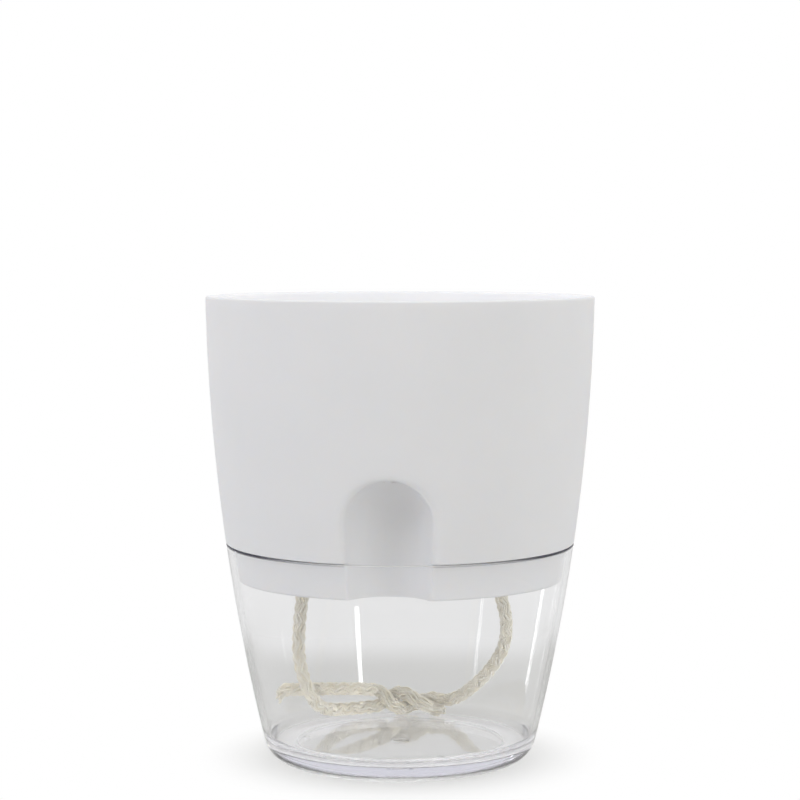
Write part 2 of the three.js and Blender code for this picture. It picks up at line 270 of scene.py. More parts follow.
class CachepotReservoir(bpy.types.PropertyGroup):
    """Clear water reservoir."""

    seat_gap: length("Seat gap", "Between the pot's shoulder and the rim", 0.3)
    wall: length("Wall", "Thickness of the wall", 2)
    floor: length("Floor", "Thickness of the floor", 2.2)
    foot_height: length("Foot height", "Table to the underside of the floor", 3.8)
    foot_width: length("Foot width", "Flat ring that the reservoir stands on", 2)
    foot_draft: length("Foot draft", "How far the inside of the foot ring leans in", 0.5)
    inner_round: length("Inner heel", "Rounding between the floor and the wall, inside", 6)
    rim_edge: length("Rim edge", "Rounding of the rim's outer edge", 0.5)
    small_round: length("Small rounding", "Rounding of the other moulded edges", 0.3)
    gate_radius: length("Gate radius", "Round boss under the middle of the floor", 3.2)
    gate_height: length("Gate height", "How far that boss stands down", 0.7)
    pip_count: count("Pips", "Small pips under the floor", 3)
    pip_radius: length("Pip radius", "Radius of a pip", 1.5)
    pip_height: length("Pip height", "How far a pip stands down", 0.9)
    pip_circle: length("Pip circle", "Radius of the ring of pips", 32)
    pip_turn: turn("Pip turn", "Direction of the first pip", 58)
    clear: colour("Clear", "What the surface lets through", "#FDFDFD")
    # Painted shade: the plastic's colour at the rim, darkened where the pot's shoulder would shade it, and it
    # stays there when the pot is lifted
    painted_seam_shade: colour("Seam shade", "The same at the rim, where the pot keeps light out", "#403E56")
    lamp_clear: colour("Clear to lamps", "What each surface lets through of the lamps' light", "#FFFFFF")
    tint: colour("Tint", "Colour that a long way through the plastic takes on", "#CACAE4")
    tint_density: amount("Tint density", "How fast it takes that colour on, per metre", 6.5)


class CachepotWick(bpy.types.PropertyGroup):
    """Braided cotton wick."""

    diameter: length("Diameter", "Thickness of the cord", 4.5)
    strands: count("Strands", "Strands in each direction of the braid", 4)
    yarns: count("Yarns", "Yarns side by side in a strand", 3)
    yarn: length("Yarn", "Thickness of a yarn", 0.66)
    depth: length("Depth", "How far a strand rises over and dips under", 0.38)
    pitch: length("Pitch", "Length in which a strand goes once round", 27)
    end_fray: length("End fray", "Length that has come undone at the left leg's end", 9)
    tail_fray: length("Tail fray", "Length that has come undone at the right leg's end", 4)
    pale: colour("Pale", "The palest yarns", "#FFFBF0")
    dark: colour("Dark", "The darkest yarns", "#E9DFC8")


class CachepotStage(bpy.types.PropertyGroup):
    """Camera, floor and light."""

    distance: length("Distance", "Camera to the pot's axis, along the floor", 740.7)
    camera_height: length("Camera height", "Camera above the floor", 175.1)
    azimuth: turn("Azimuth", "Camera's direction round the pot, from straight in front", 3.6)
    pitch: turn("Pitch", "How far the camera looks down", 4.181)
    lens: bpy.props.FloatProperty(
        name="Lens", description="Focal length", default=99.38, subtype="DISTANCE_CAMERA"
    )
    floor_radius: length("Floor radius", "Radius of the floor", 4000)
    floor_pale: colour("Floor", "The floor's colour round the pot", "#E2E2E0")
    # Painted shade: a greyer floor further off, for the pot's shadow and the room's shade on the table behind
    floor_painted_shade: colour("Far floor", "The floor's colour further off", "#D0D0CE")
    cool: colour("Cool", "Colour of the soft box on the left", "#FAFAFF")
    warm: colour("Warm", "Colour of the soft boxes on the right", "#FFFEF8")
    plain: colour("Plain", "Colour of the other lamps", "#FFFFFF")
    sky: amount("Sky", "Strength of the even light from all round", 0.84)
    front: amount("Front", "Strength of that light from the camera's side", 0.2)
    backdrop: amount("Backdrop", "Brightness of the far floor, as the clear plastic shows it", 0.85)
    room: amount("Room", "Brightness of the camera's side, as the clear plastic mirrors it", 0.55)
    top: amount("Top", "Strength of the soft box overhead, in watts", 3.0)
    side: amount("Side", "Strength of the strongest soft box at the sides, in watts", 2.4)
    low: amount("Low", "Strength of the soft box that shines into the reservoir, in watts", 0.036)
    mouth: amount("Mouth", "Strength of the small soft box in the pot's mouth, in watts", 0.028)
    strip: amount("Strip", "Strength that each light tube has a share of, in watts", 0.6)


def add_node(tree, kind, inputs=None, **settings):
    """Add a node with its settings. An input takes a value, a socket, a whole node or a list of those."""
    node = tree.nodes.new(kind)
    for name, value in settings.items():
        setattr(node, name, value)
    for key, given in (inputs or {}).items():
        named = [s for s in node.inputs if s.name == key and s.enabled]
        socket = node.inputs[key] if isinstance(key, int) else named[0]
        for value in given if isinstance(given, list) else [given]:
            if isinstance(value, bpy.types.Node):
                value = next(s for s in value.outputs if s.enabled)
            if isinstance(value, bpy.types.NodeSocket):
                tree.links.new(value, socket)
            else:
                socket.default_value = value
    return node


def new_material(name):
    """An empty material and its node tree."""
    material = bpy.data.materials.new(name)
    material.use_nodes = True
    material.node_tree.nodes.clear()
    return material, material.node_tree


def new_tree(name, **sizes):
    """An empty geometry node tree and its inputs: a shape, sizes by kind of socket, and a material."""
    tree = bpy.data.node_groups.new(name, "GeometryNodeTree")
    kinds = {"Geometry": ("Geometry",), **sizes, "Material": ("Material",)}
    for kind, names in kinds.items():
        for socket_name in names:
            tree.interface.new_socket(socket_name, in_out="INPUT", socket_type="NodeSocket" + kind)
    tree.interface.new_socket("Geometry", in_out="OUTPUT", socket_type="NodeSocketGeometry")
    return tree, {socket.name: socket for socket in add_node(tree, "NodeGroupInput").outputs}


def close_tree(tree, shape, value):
    """End a geometry node tree: the shape as one plain mesh, in its material."""
    whole = add_node(tree, "GeometryNodeRealizeInstances", {"Geometry": shape})
    dressed = add_node(tree, "GeometryNodeSetMaterial", {"Geometry": whole, "Material": value["Material"]})
    add_node(tree, "NodeGroupOutput", {"Geometry": dressed})
    return tree


def run_tree(source, tree, sizes, values, name):
    """Run a node tree on a mesh, and give the result as a plain new object.
    An input takes the value given for it, or else the size of the same name."""
    carrier = bpy.data.objects.new(name + "_source", source)
    bpy.context.collection.objects.link(carrier)
    modifier = carrier.modifiers.new(tree.name, "NODES")
    modifier.node_group = tree
    for item in tree.interface.items_tree:
        if item.in_out == "INPUT" and item.name != "Geometry":
            own_size = getattr(sizes, item.name.lower().replace(" ", "_"), None)
            modifier[item.identifier] = values.get(item.name, own_size)
    graph = bpy.context.evaluated_depsgraph_get()
    mesh = bpy.data.meshes.new_from_object(carrier.evaluated_get(graph), depsgraph=graph)
    carrier.modifiers.remove(modifier)
    bpy.data.objects.remove(carrier)
    bpy.data.meshes.remove(source)
    mesh.name = name
    if not len(mesh.polygons):
        raise RuntimeError(f"{name}: its node tree made no faces")
    piece = bpy.data.objects.new(name, mesh)
    bpy.context.collection.objects.link(piece)
    return piece


def place(piece, body, node):
    """Let a piece ride on its body, in the place of the solid that it stands for."""
    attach(piece, body)
    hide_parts(node)


def smooth_moulding(piece):
    """Shade a moulding smoothly, with creases only where it has real edges."""
    piece.data.shade_smooth()
    piece.data.set_sharp_from_angle(angle=SHARP_ANGLE)


def wall_radius(form, z):
    """Outside radius at a height: a parabola through the heel, the seam and the rim."""
    lower = (form.seam_radius - form.heel_radius) / (form.seam_height - form.heel_height)
    upper = (form.rim_radius - form.seam_radius) / (form.height - form.seam_height)
    barrel = (upper - lower) / (form.height - form.heel_height)
    rise = z - form.heel_height
    return form.heel_radius + lower * rise + barrel * rise * (z - form.seam_height)


def wall_lean(form, z):
    """How far the side leans out from upright at a height."""
    return math.atan((wall_radius(form, z + PROBE) - wall_radius(form, z - PROBE)) / (2 * PROBE))


def quarter(radius):
    """Inset and drop of points round a quarter circle, from its upright end to its level end."""
    angles = [QUARTER * i / ROUND_STEPS for i in range(ROUND_STEPS + 1)]
    return [(radius * (1 - math.sin(a)), radius * (1 - math.cos(a))) for a in angles]


def loft(rings):
    """Closed mesh through rings of as many points each, with a flat face on the first and the last.
    Doubles are welded and the faces turned outwards."""
    shape = bmesh.new()
    rows = [[shape.verts.new(point) for point in ring] for ring in rings]
    around = len(rows[0])
    for low, high in zip(rows, rows[1:]):
        for i in range(around):
            j = (i + 1) % around
            shape.faces.new((low[i], low[j], high[j], high[i]))
    shape.faces.new(rows[0][::-1])
    shape.faces.new(rows[-1])
    bmesh.ops.remove_doubles(shape, verts=shape.verts, dist=WELD)
    bmesh.ops.dissolve_degenerate(shape, edges=shape.edges, dist=WELD)
    bmesh.ops.recalc_face_normals(shape, faces=shape.faces)
    mesh = bpy.data.meshes.new("shape")
    shape.to_mesh(mesh)
    shape.free()
    return mesh


def soft_max(a, b, width):
    """The greater of two distances, with the corner where they cross rounded over this width."""
    overlap = np.maximum(width - np.abs(a - b), 0.0)
    return np.maximum(a, b) + overlap * overlap / (4 * width)


def scoop_line(pot, form, base, z, radius, mouth, bead):
    """Directions and distances from the pot's axis of the wall's front, where the scoop is let into it."""
    axis = form.seam_radius - pot.scoop_depth + pot.scoop_radius
    dome = max(z - form.seam_height - pot.scoop_spring, 0.0)
    angle = np.linspace(0, FRONT_ANGLE, FRONT_SAMPLES)
    ray = np.linspace(axis - radius - 2 * mouth, base, RAY_SAMPLES)
    across = np.outer(np.sin(angle), ray)
    ahead = axis - np.outer(np.cos(angle), ray)
    into_scoop = radius - np.sqrt(across ** 2 + ahead ** 2 + dome ** 2)
    outside = soft_max(ray[None, :] - base, into_scoop, mouth)
    last = np.maximum(np.argmax(outside >= 0, axis=1), 1)
    rows = np.arange(FRONT_SAMPLES)
    before = outside[rows, last - 1]
    share = before / (before - outside[rows, last])
    reach = ray[last - 1] + share * (ray[1] - ray[0])
    beside = (reach * np.sin(angle) - radius) / pot.bead_width
    room = np.maximum(base - reach, 0.0)
    return angle, reach + bead * np.exp(-beside ** 2) * np.tanh(room / pot.bead_width)


def pot_ring(pot, form, base, z, radius, mouth, bead=0.0):
    """Outline of the pot at one height, with points close together round the niche's edge."""
    angle, reach = scoop_line(pot, form, base, z, radius, mouth, bead)
    x = reach * np.sin(angle)
    y = -reach * np.cos(angle)
    weight = 1 + EDGE_DENSITY * np.exp(-(((angle[1:] + angle[:-1]) / 2 - EDGE_ANGLE) / EDGE_SPREAD) ** 2)
    run = np.concatenate([[0.0], np.cumsum(np.hypot(np.diff(x), np.diff(y)) * weight)])
    even = np.linspace(0, run[-1], POT_FRONT_POINTS, endpoint=False)
    right = list(zip(np.interp(even, run, x), np.interp(even, run, y)))
    rest = np.linspace(FRONT_ANGLE, math.pi, POT_SIDE_POINTS)
    right += [(base * math.sin(a), -base * math.cos(a)) for a in rest]
    left = [(-px, py) for px, py in right[-2:0:-1]]
    return [(float(px), float(py), z) for px, py in right + left]


def pot_levels(pot, form, reservoir_wall):
    """Radius, height, scoop radius, edge rounding and bead of each ring, up outside and down inside."""
    seam = form.seam_height
    floor_low = seam - pot.spigot_depth
    floor_top = floor_low + pot.floor
    fit = reservoir_wall + pot.clearance
    dome_low = seam + pot.scoop_spring + DOME_START * pot.scoop_radius
    dome_high = seam + pot.scoop_spring + pot.scoop_radius + pot.mouth_round + pot.wall
    shoulder_low = seam - pot.shoulder_fall
    hem = wall_radius(form, seam + pot.hem_round)
    lip_low = form.height - pot.lip_round
    lip_inside = form.rim_radius - pot.wall
    mouth = pot.mouth_round
    scoop = pot.scoop_radius
    inner = scoop + pot.wall

    def spigot(z):
        return wall_radius(form, z) - fit

    def heights(low):
        return np.concatenate([
            np.linspace(low, dome_low, PLAIN_RINGS, endpoint=False),
            np.linspace(dome_low, dome_high, DOME_RINGS, endpoint=False),
            np.linspace(dome_high, lip_low, PLAIN_RINGS),
        ])

    levels = []
    for inset, drop in quarter(pot.spigot_edge):
        z = floor_low + drop
        levels.append((spigot(z) - inset, z, scoop + SCOOP_FOLLOW * inset, pot.spigot_round, pot.bead))
    for z in np.linspace(floor_low + pot.spigot_edge, shoulder_low, SPIGOT_RINGS)[1:]:
        levels.append((spigot(z), z, scoop, pot.spigot_round, pot.bead))
    for share in SHOULDER_SHARES:
        z = shoulder_low + share * pot.shoulder_fall
        levels.append((spigot(z) + share * (hem - pot.hem_round - spigot(z)), z, scoop, mouth))
    for inset, drop in quarter(pot.hem_round):
        levels.append((hem - inset, seam + drop, scoop, mouth))
    for z in heights(seam + pot.hem_round)[1:]:
        levels.append((wall_radius(form, z), z, scoop, mouth))
    for inset, drop in quarter(pot.lip_round)[::-1][1:]:
        levels.append((form.rim_radius - inset, form.height - drop, scoop, mouth))
    for inset, drop in quarter(pot.lip_round):
        levels.append((lip_inside + inset, form.height - drop, inner, mouth))
    for z in heights(seam + pot.shoulder_rise)[::-1][1:]:
        levels.append((wall_radius(form, z) - pot.wall, z, inner, mouth))
    for z in np.linspace(seam, floor_top + pot.spigot_edge, SPIGOT_RINGS):
        levels.append((spigot(z) - pot.wall, z, inner, mouth))
    for inset, drop in quarter(pot.spigot_edge)[::-1][1:]:
        z = floor_top + drop
        levels.append((spigot(z) - pot.wall - inset, z, inner, mouth))
    return levels


def ring_points(tree, number, radius, height, turned):
    """Evenly spaced points round the pot's axis, at a height."""
    lift = add_node(tree, "ShaderNodeCombineXYZ", {"Z": height})
    spin = add_node(tree, "ShaderNodeCombineXYZ", {"Z": turned})
    ring = add_node(tree, "GeometryNodeMeshCircle", {"Vertices": number, "Radius": radius})
    return add_node(tree, "GeometryNodeTransform", {"Geometry": ring, "Translation": lift, "Rotation": spin})


def floor_holes_tree():
    """Node tree that pierces a floor with a ring of drain holes and two wick holes."""
    tree, value = new_tree(
        "floor_holes", Int=("Drain Count",), Vector=("Wick Left", "Wick Right"),
        Float=("Drain Radius", "Drain Circle", "Wick Hole", "Floor Height", "Cut Depth"),
    )
    half = add_node(tree, "ShaderNodeMath", {0: math.pi, 1: value["Drain Count"]}, operation="DIVIDE")
    ring = ring_points(tree, value["Drain Count"], value["Drain Circle"], value["Floor Height"], half)
    pair = add_node(tree, "GeometryNodeMeshLine", {
        "Count": 2, "Start Location": value["Wick Left"], "Offset": value["Wick Right"],
    }, mode="END_POINTS")
    cutters = []
    for points, radius in ((ring, "Drain Radius"), (pair, "Wick Hole")):
        drill = add_node(tree, "GeometryNodeMeshCylinder", {
            "Vertices": HOLE_SEGMENTS, "Radius": value[radius], "Depth": value["Cut Depth"],
        })
        cutters.append(add_node(tree, "GeometryNodeInstanceOnPoints", {"Points": points, "Instance": drill}))
    joined = add_node(tree, "GeometryNodeJoinGeometry", {"Geometry": cutters})
    whole = add_node(tree, "GeometryNodeRealizeInstances", {"Geometry": joined})
    pierced = add_node(tree, "GeometryNodeMeshBoolean", {
        0: value["Geometry"], 1: whole,
    }, operation="DIFFERENCE", solver="MANIFOLD")
    return close_tree(tree, pierced, value)


def moulded_white(pot):
    """Moulded white polypropylene: satin, faintly clouded and wavy, with the grain of an eroded mould."""
    material, tree = new_material("moulded_white_polypropylene")
    spot = add_node(tree, "ShaderNodeTexCoord").outputs["Object"]
    clouds, waves, grain = [
        add_node(tree, "ShaderNodeTexNoise", {"Vector": spot, "Scale": 1 / size, "Detail": detail})
        for size, detail in WHITE_PATTERNS
    ]
    tone = add_node(tree, "ShaderNodeMix", {
        "Factor": clouds, "A": pot.white, "B": pot.shade,
    }, data_type="RGBA")
    sheen = add_node(tree, "ShaderNodeMapRange", {"Value": grain, "To Min": 0.40, "To Max": 0.54})
    sink = add_node(tree, "ShaderNodeBump", {"Height": waves, "Strength": 0.25, "Distance": 0.25 * MM})
    skin = add_node(tree, "ShaderNodeBump", {
        "Height": grain, "Normal": sink, "Strength": 0.12, "Distance": 0.06 * MM,
    })
    body = add_node(tree, "ShaderNodeBsdfPrincipled", {
        "Base Color": tone, "Roughness": sheen, "IOR": 1.49, "Specular IOR Level": 0.3, "Normal": skin,
        "Subsurface Weight": 0.35, "Subsurface Radius": (1.0, 0.85, 0.7), "Subsurface Scale": 3 * MM,
    })
    add_node(tree, "ShaderNodeOutputMaterial", {"Surface": body})
    return material


def painted_rim_shade(tree, split, rim, pot):
    """How strongly painted shade darkens the clear rim's colour where the pot's shoulder would shade it: more
    where the wall is seen edge-on, and not in front of the scoop, where there is no shoulder over it."""
    aside = add_node(tree, "ShaderNodeMath", {0: split.outputs["X"]}, operation="ABSOLUTE")
    beside = add_node(tree, "ShaderNodeMapRange", {
        "Value": aside, "From Min": pot.scoop_radius, "From Max": pot.scoop_radius + SEAM_DEPTH,
    })
    behind = add_node(tree, "ShaderNodeMath", {0: split.outputs["Y"], 1: 0.0}, operation="GREATER_THAN")
    covered = add_node(tree, "ShaderNodeMath", {0: beside, 1: behind}, operation="MAXIMUM")
    high = add_node(tree, "ShaderNodeMapRange", {
        "Value": split.outputs["Z"], "From Min": rim - SEAM_DEPTH, "From Max": rim - SEAM_DEPTH / 2,
    })
    level = add_node(tree, "ShaderNodeCombineXYZ", {"X": split.outputs["X"], "Y": split.outputs["Y"]})
    outward = add_node(tree, "ShaderNodeVectorMath", {0: level}, operation="NORMALIZE")
    facing = add_node(tree, "ShaderNodeLayerWeight", {"Normal": outward}).outputs["Facing"]
    edge_on = add_node(tree, "ShaderNodeMapRange", {
        "Value": facing, "From Max": SEAM_EDGE, "To Min": SEAM_LEAST,
    })
    shaded = add_node(tree, "ShaderNodeMath", {0: high, 1: covered}, operation="MULTIPLY")
    return add_node(tree, "ShaderNodeMath", {0: shaded, 1: edge_on}, operation="MULTIPLY")


def clear_polystyrene(sizes, form, pot):
    """Clear moulded polystyrene: bright reflections, a blue-violet cast where it is thick, and a dark line of
    painted shade along the seam, in its colour. Lamps shine through it as through a thin real wall. Its rim
    and foot are scuffed, hazy and part white."""
    material, tree = new_material("clear_moulded_polystyrene")
    spot = add_node(tree, "ShaderNodeTexCoord").outputs["Object"]
    flow, wipe = [
        add_node(tree, "ShaderNodeTexNoise", {"Vector": spot, "Scale": 1 / size, "Detail": detail})
        for size, detail in CLEAR_PATTERNS
    ]
    ripple = add_node(tree, "ShaderNodeBump", {"Height": flow, "Strength": 0.1, "Distance": 0.2 * MM})
    split = add_node(tree, "ShaderNodeSeparateXYZ", {0: spot})
    rim = form.seam_height - sizes.seat_gap
    # Painted shade: the rim's colour turns to the seam shade where the pot's shoulder would shade it, most
    # where it is seen edge-on
    tone = add_node(tree, "ShaderNodeMix", {
        "Factor": painted_rim_shade(tree, split, rim, pot), "A": sizes.clear, "B": sizes.painted_seam_shade,
    }, data_type="RGBA")
    haze = add_node(tree, "ShaderNodeMapRange", {"Value": wipe, "To Max": HAZE_MOST})
    see_through = 1.0
    for start, end, white, rough in (
        (rim - 2 * RIM_FADE, rim - RIM_FADE, RIM_WHITE, RIM_HAZE),
        (sizes.foot_height, 0.0, FOOT_WHITE, FOOT_HAZE),
    ):
        worn = add_node(tree, "ShaderNodeMapRange", {
            "Value": split.outputs["Z"], "From Min": start, "From Max": end,
        })
        see_through = add_node(tree, "ShaderNodeMath", {
            0: worn, 1: -white, 2: see_through,
        }, operation="MULTIPLY_ADD")
        haze = add_node(tree, "ShaderNodeMath", {0: worn, 1: rough, 2: haze}, operation="MULTIPLY_ADD")
    glass = add_node(tree, "ShaderNodeBsdfPrincipled", {
        "Base Color": tone, "Roughness": haze, "IOR": 1.5, "Normal": ripple,
        "Transmission Weight": see_through,
    })
    through = add_node(tree, "ShaderNodeBsdfTransparent", {"Color": sizes.lamp_clear})
    path = add_node(tree, "ShaderNodeLightPath")
    lamp = add_node(tree, "ShaderNodeMath", {
        0: path.outputs["Is Shadow Ray"], 1: path.outputs["Is Diffuse Ray"],
    }, operation="MAXIMUM")
    surface = add_node(tree, "ShaderNodeMixShader", {0: lamp, 1: glass, 2: through})
    depth = add_node(tree, "ShaderNodeVolumeAbsorption", {
        "Color": sizes.tint, "Density": sizes.tint_density,
    })
    add_node(tree, "ShaderNodeOutputMaterial", {"Surface": surface, "Volume": depth})
    return material


def braided_cotton(wick):
    """Raw cotton yarn, loosely spun: matt, each yarn a little paler or darker, with fibres along it."""
    material, tree = new_material("braided_raw_cotton")
    tone, around, run = [
        add_node(tree, "ShaderNodeAttribute", attribute_name=name)
        for name in ("yarn_tone", "yarn_offset", "yarn_run")
    ]
    along = add_node(tree, "ShaderNodeMath", {
        0: run.outputs["Fac"], 1: 1 / FIBRE_LENGTH,
    }, operation="MULTIPLY")
    fibres = add_node(tree, "ShaderNodeTexNoise", {
        "Vector": around.outputs["Vector"], "W": along, "Scale": 1 / FIBRE_WIDTH, "Detail": 2.0,
    }, noise_dimensions="4D")
    mixed = add_node(tree, "ShaderNodeMath", {
        0: fibres, 1: FIBRE_TONE, 2: tone.outputs["Fac"],
    }, operation="MULTIPLY_ADD")
    shade = add_node(tree, "ShaderNodeMapRange", {"Value": mixed, "From Min": 0.1, "From Max": 1.2})
    cotton = add_node(tree, "ShaderNodeMix", {
        "Factor": shade, "A": wick.dark, "B": wick.pale,
    }, data_type="RGBA")
    fuzz = add_node(tree, "ShaderNodeBump", {"Height": fibres, "Strength": 0.5, "Distance": 0.12 * MM})
    body = add_node(tree, "ShaderNodeBsdfPrincipled", {
        "Base Color": cotton, "Roughness": 0.92, "IOR": 1.53, "Normal": fuzz,
        "Sheen Weight": 0.25, "Sheen Roughness": 0.5,
        "Subsurface Weight": 0.55, "Subsurface Radius": (1.0, 0.95, 0.8), "Subsurface Scale": 1.2 * MM,
    })
    add_node(tree, "ShaderNodeOutputMaterial", {"Surface": body})
    return material


BRAID_SUMS = (  # name of the result, operation, and what it works on
    # Which way a yarn winds, its strand, and its lane in the strand
    ("each_way", "MULTIPLY", "Strands", "Yarns"),
    ("way_share", "DIVIDE", "number", "each_way"),
    ("way", "FLOOR", "way_share"),
    ("side", "MULTIPLY_ADD", "way", -2.0, 1.0),
    ("strand_share", "DIVIDE", "number", "Yarns"),
    ("strand", "FLOOR", "strand_share"),
    ("last_lane", "SUBTRACT", "Yarns", 1.0),
    ("middle_lane", "MULTIPLY", "last_lane", 0.5),
    ("own_lane", "MODULO", "number", "Yarns"),
    ("lane", "SUBTRACT", "own_lane", "middle_lane"),
    # Winding, over and under
    ("undone", "SUBTRACT", "whole", "Fray"),
    ("tight", "SUBTRACT", 1.0, "loose"),
    ("half", "MULTIPLY", "Diameter", 0.5),
    ("cover", "MULTIPLY_ADD", "Yarn", 0.5, "Depth"),
    ("mid", "SUBTRACT", "half", "cover"),
    ("wound_run", "MINIMUM", "run", "undone"),
    ("turns", "DIVIDE", "wound_run", "Pitch"),
    ("phase", "MULTIPLY", "turns", TAU),
    ("first_share", "DIVIDE", "strand", "Strands"),
    ("first", "MULTIPLY", "first_share", TAU),
    ("lane_run", "MULTIPLY", "lane", "Yarn"),
    ("lane_turn", "DIVIDE", "lane_run", "mid"),
    ("strand_angle", "MULTIPLY_ADD", "side", "phase", "first"),
    ("angle", "ADD", "strand_angle", "lane_turn"),
    ("ahead_share", "COSINE", "angle"),
    ("beside_share", "SINE", "angle"),
    ("cross_phase", "MULTIPLY", "phase", "Strands"),
    ("cross", "COSINE", "cross_phase"),
    ("tight_cross", "MULTIPLY", "cross", "tight"),
    ("over_under", "MULTIPLY", "tight_cross", "side"),
    ("braided", "MULTIPLY_ADD", "over_under", "Depth", "mid"),
    ("swollen", "MULTIPLY", "braided", "girth"),
    # Loose ends: spread apart, hanging and of uneven length
    ("spread_room", "SUBTRACT", "Spread", LOOSE_LEAST),
    ("stray_share", "MULTIPLY_ADD", "stray", "spread_room", LOOSE_LEAST - 1),
    ("spread", "MULTIPLY_ADD", "stray_share", "loose", 1.0),
    ("radius", "MULTIPLY", "swollen", "spread"),
    ("hang", "MULTIPLY", "sag", "Droop"),
    ("loose_twice", "MULTIPLY", "loose", "loose"),
    ("fall", "MULTIPLY", "hang", "loose_twice"),
    ("drop", "MULTIPLY", "fall", -1.0),
    ("uneven_share", "SUBTRACT", UNEVEN_MIDDLE, "sag"),
    ("uneven", "MULTIPLY", "uneven_share", "Fray"),
    ("uneven_here", "MULTIPLY", "loose", UNEVEN_MOST),
    ("cut", "MULTIPLY", "uneven", "uneven_here"),
    # Marks that the cotton's fibres follow, and the core that closes the braid's gaps
    ("shade", "MULTIPLY", "tone", YARN_TONE),
    ("fibre_run", "MULTIPLY_ADD", "number", FIBRE_SHIFT, "run"),
    ("yarn_radius", "MULTIPLY", "Yarn", 0.5),
    ("core_end", "MULTIPLY_ADD", "Fray", CORE_REACH, "undone"),
    ("core_radius", "SUBTRACT", "mid", "Depth"),
)
BRAID_PLACES = (  # the same for the yarn's place round the cord's line
    ("across", "CROSS_PRODUCT", "tangent", "normal"),
    ("ahead", "SCALE", "normal", "ahead_share"),
    ("beside", "SCALE", "across", "beside_share"),
    ("outward", "ADD", "ahead", "beside"),
    ("wound_to", "SCALE", "outward", "radius"),
    ("hung", "ADD", "wound_to", "down"),
    ("shortened", "SCALE", "tangent", "cut"),
    ("offset", "ADD", "hung", "shortened"),
)


def work_out_braid(tree, value):
    """Add to the braid's values what each yarn needs at each point: its place, tone and thickness."""
    value["run"] = add_node(tree, "GeometryNodeSplineParameter").outputs["Length"]
    value["whole"] = add_node(tree, "GeometryNodeSplineLength").outputs["Length"]
    left = add_node(tree, "ShaderNodeMath", {0: value["whole"], 1: value["run"]}, operation="SUBTRACT")
    value["loose"] = add_node(tree, "ShaderNodeMapRange", {
        "Value": left, "From Min": value["Fray"], "From Max": 0.0,
    }, interpolation_type="SMOOTHSTEP")
    value["girth"] = add_node(tree, "GeometryNodeInputNamedAttribute", {"Name": "girth"}, data_type="FLOAT")
    chance = add_node(tree, "FunctionNodeRandomValue", {
        "Min": (0.0, 0.0, 0.0), "Max": (1.0, 1.0, 1.0), "ID": value["number"], "Seed": value["Seed"],
    }, data_type="FLOAT_VECTOR")
    split = add_node(tree, "ShaderNodeSeparateXYZ", {0: chance})
    value["stray"], value["sag"], value["tone"] = split.outputs
    for name, operation, *terms in BRAID_SUMS:
        inputs = {index: value.get(term, term) for index, term in enumerate(terms)}
        value[name] = add_node(tree, "ShaderNodeMath", inputs, operation=operation)
    value["tangent"] = add_node(tree, "GeometryNodeInputTangent")
    value["normal"] = add_node(tree, "GeometryNodeInputNormal")
    value["down"] = add_node(tree, "ShaderNodeCombineXYZ", {"Z": value["drop"]})
    for name, operation, first, second in BRAID_PLACES:
        second_key = "Scale" if operation == "SCALE" else 1
        value[name] = add_node(tree, "ShaderNodeVectorMath", {
            0: value[first], second_key: value[second],
        }, operation=operation)


def braid_tree():
    """Node tree that lays a braid of yarns along a line, and lets it come undone at the line's far end.
    The line's points carry the cord's girth there, as a share of its diameter."""
    tree, value = new_tree(
        "braided_cord", Int=("Strands", "Yarns", "Yarn Count", "Seed"),
        Float=("Diameter", "Yarn", "Depth", "Pitch", "Step", "Fray", "Spread", "Droop"),
    )
    line = add_node(tree, "GeometryNodeMeshToCurve", {"Mesh": value["Geometry"]})
    even = add_node(tree, "GeometryNodeResampleCurve", {
        "Curve": line, "Length": value["Step"],
    }, mode="LENGTH")
    steady = add_node(tree, "GeometryNodeSetCurveNormal", {"Curve": even}, mode="MINIMUM_TWIST")
    copies = add_node(tree, "GeometryNodeDuplicateElements", {
        "Geometry": steady, "Amount": value["Yarn Count"],
    }, domain="SPLINE")
    value["number"] = copies.outputs["Duplicate Index"]
    work_out_braid(tree, value)
    position = add_node(tree, "GeometryNodeInputPosition")
    marked = add_node(tree, "GeometryNodeSetPosition", {
        "Geometry": copies.outputs["Geometry"], "Offset": value["offset"],
    })
    for name, kind, mark in (
        ("yarn_tone", "FLOAT", value["shade"]),
        ("yarn_run", "FLOAT", value["fibre_run"]),
        ("yarn_spine", "FLOAT_VECTOR", position),
    ):
        marked = add_node(tree, "GeometryNodeStoreNamedAttribute", {
            "Geometry": marked, "Name": name, "Value": mark,
        }, data_type=kind, domain="POINT")
    core_line = add_node(tree, "GeometryNodeTrimCurve", {
        "Curve": steady, "Start": 0.0, "End": value["core_end"],
    }, mode="LENGTH")
    yarns, core = [
        add_node(tree, "GeometryNodeCurveToMesh", {
            "Curve": curve, "Fill Caps": True,
            "Profile Curve": add_node(tree, "GeometryNodeCurvePrimitiveCircle", {
                "Resolution": sides, "Radius": value[radius],
            }, mode="RADIUS"),
        }) for curve, sides, radius in (
            (marked, YARN_SIDES, "yarn_radius"), (core_line, CORE_SIDES, "core_radius"),
        )
    ]
    spine = add_node(tree, "GeometryNodeInputNamedAttribute", {
        "Name": "yarn_spine",
    }, data_type="FLOAT_VECTOR")
    off_spine = add_node(tree, "ShaderNodeVectorMath", {0: position, 1: spine}, operation="SUBTRACT")
    braid = add_node(tree, "GeometryNodeStoreNamedAttribute", {
        "Geometry": yarns, "Name": "yarn_offset", "Value": off_spine,
    }, data_type="FLOAT_VECTOR", domain="POINT")
    cord = add_node(tree, "GeometryNodeJoinGeometry", {"Geometry": [braid, core]})
    smooth = add_node(tree, "GeometryNodeSetShadeSmooth", {"Geometry": cord})
    return close_tree(tree, smooth, value)


